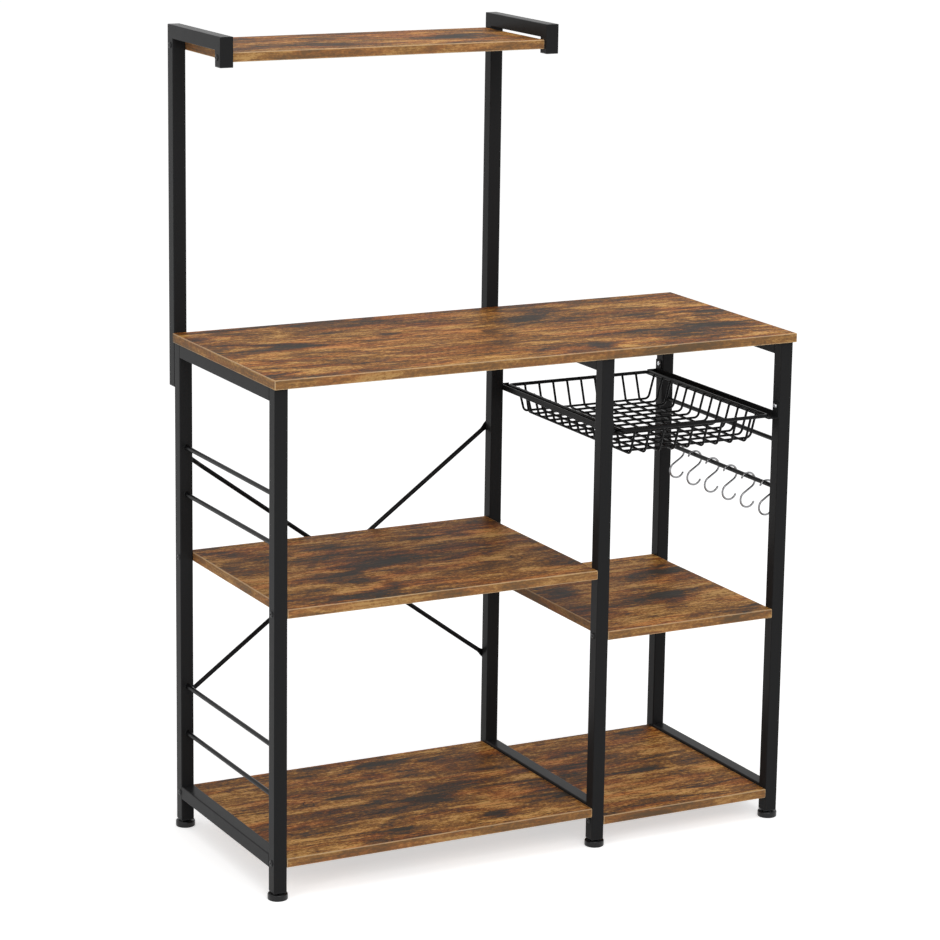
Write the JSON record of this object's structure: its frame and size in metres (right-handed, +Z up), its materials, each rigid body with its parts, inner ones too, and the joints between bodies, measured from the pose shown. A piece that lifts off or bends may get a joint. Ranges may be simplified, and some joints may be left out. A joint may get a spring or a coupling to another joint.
{
  "type": "kitchen storage rack",
  "caption": "Free-standing kitchen rack in black steel and brown boards, with worktop, open shelves, raised upper shelf, sliding wire basket, side hooks and levelling feet.",
  "frame": {"origin": "centre of the footprint's bounding box, at floor level under the levelling feet", "axes": "+X to the right as seen from the open front, +Y towards the back, +Z up"},
  "size_m": [0.932, 0.4232, 1.32],
  "materials": {
    "black_powder_coat": "matt powder coat",
    "rustic_board": "rustic brown board with a matt surface",
    "bright_steel": "bright plated steel",
    "black_plastic": "moulded black plastic"
  },
  "bodies": {
    "rack": {"left_front_post": "black_powder_coat", "left_rear_post": "black_powder_coat", "left_top_rail": "black_powder_coat", "left_bottom_rail": "black_powder_coat", "middle_front_post": "black_powder_coat", "middle_rear_post": "black_powder_coat", "middle_top_rail": "black_powder_coat", "middle_bottom_rail": "black_powder_coat", "right_front_post": "black_powder_coat", "right_rear_post": "black_powder_coat", "right_top_rail": "black_powder_coat", "right_bottom_rail": "black_powder_coat", "left_rod_lowest": "black_powder_coat", "left_rod_lower": "black_powder_coat", "left_rod_upper": "black_powder_coat", "left_rod_highest": "black_powder_coat", "right_guard_rod": "black_powder_coat", "hook_rod": "black_powder_coat", "worktop": "rustic_board", "left_middle_shelf": "rustic_board", "right_middle_shelf": "rustic_board", "left_bottom_shelf": "rustic_board", "right_bottom_shelf": "rustic_board", "top_shelf": "rustic_board", "left_hutch_upright": "black_powder_coat", "left_hutch_arm": "black_powder_coat", "left_hutch_drop": "black_powder_coat", "right_hutch_upright": "black_powder_coat", "right_hutch_arm": "black_powder_coat", "right_hutch_drop": "black_powder_coat", "rising_brace": "black_powder_coat", "falling_brace": "black_powder_coat", "left_basket_runner": "black_powder_coat", "right_basket_runner": "black_powder_coat", "foot_inserts": "black_plastic", "tube_end_caps": "black_plastic", "worktop_bolts": "black_powder_coat", "shelf_bolts": "black_powder_coat", "top_shelf_bolts": "black_powder_coat", "hutch_bolts": "black_powder_coat", "brace_bolts": "black_powder_coat", "runner_screws": "bright_steel"},
    "basket": {"basket_rim": "black_powder_coat", "basket_long_wires": "black_powder_coat", "basket_cross_wires": "black_powder_coat"},
    "hook_1": {"s_hook_1": "bright_steel"},
    "hook_2": {"s_hook_2": "bright_steel"},
    "hook_3": {"s_hook_3": "bright_steel"},
    "hook_4": {"s_hook_4": "bright_steel"},
    "hook_5": {"s_hook_5": "bright_steel"},
    "hook_6": {"s_hook_6": "bright_steel"},
    "left_front_levelling_foot": {"left_front_foot": "black_plastic"},
    "left_rear_levelling_foot": {"left_rear_foot": "black_plastic"},
    "middle_front_levelling_foot": {"middle_front_foot": "black_plastic"},
    "middle_rear_levelling_foot": {"middle_rear_foot": "black_plastic"},
    "right_front_levelling_foot": {"right_front_foot": "black_plastic"},
    "right_rear_levelling_foot": {"right_rear_foot": "black_plastic"}
  },
  "joints": [
    {"name": "basket_slide", "type": "slide", "parent": "rack", "child": "basket", "axis": [0, -1, 0], "range_m": [0, 0.26]},
    {"name": "hook_1_swing", "type": "hinge", "parent": "rack", "child": "hook_1", "pos_m": [0.45, -0.15765, 0.566], "axis": [0, 1, 0], "range_deg": [-60, 60]},
    {"name": "hook_2_swing", "type": "hinge", "parent": "rack", "child": "hook_2", "pos_m": [0.45, -0.10065, 0.566], "axis": [0, 1, 0], "range_deg": [-60, 60]},
    {"name": "hook_3_swing", "type": "hinge", "parent": "rack", "child": "hook_3", "pos_m": [0.45, -0.04365, 0.566], "axis": [0, 1, 0], "range_deg": [-60, 60]},
    {"name": "hook_4_swing", "type": "hinge", "parent": "rack", "child": "hook_4", "pos_m": [0.45, 0.01335, 0.566], "axis": [0, 1, 0], "range_deg": [-60, 60]},
    {"name": "hook_5_swing", "type": "hinge", "parent": "rack", "child": "hook_5", "pos_m": [0.45, 0.07035, 0.566], "axis": [0, 1, 0], "range_deg": [-60, 60]},
    {"name": "hook_6_swing", "type": "hinge", "parent": "rack", "child": "hook_6", "pos_m": [0.45, 0.12735, 0.566], "axis": [0, 1, 0], "range_deg": [-60, 60]},
    {"name": "left_front_foot_height", "type": "slide", "parent": "rack", "child": "left_front_levelling_foot", "axis": [0, 0, -1], "range_m": [0, 0.008]},
    {"name": "left_rear_foot_height", "type": "slide", "parent": "rack", "child": "left_rear_levelling_foot", "axis": [0, 0, -1], "range_m": [0, 0.008]},
    {"name": "middle_front_foot_height", "type": "slide", "parent": "rack", "child": "middle_front_levelling_foot", "axis": [0, 0, -1], "range_m": [0, 0.008]},
    {"name": "middle_rear_foot_height", "type": "slide", "parent": "rack", "child": "middle_rear_levelling_foot", "axis": [0, 0, -1], "range_m": [0, 0.008]},
    {"name": "right_front_foot_height", "type": "slide", "parent": "rack", "child": "right_front_levelling_foot", "axis": [0, 0, -1], "range_m": [0, 0.008]},
    {"name": "right_rear_foot_height", "type": "slide", "parent": "rack", "child": "right_rear_levelling_foot", "axis": [0, 0, -1], "range_m": [0, 0.008]}
  ]
}
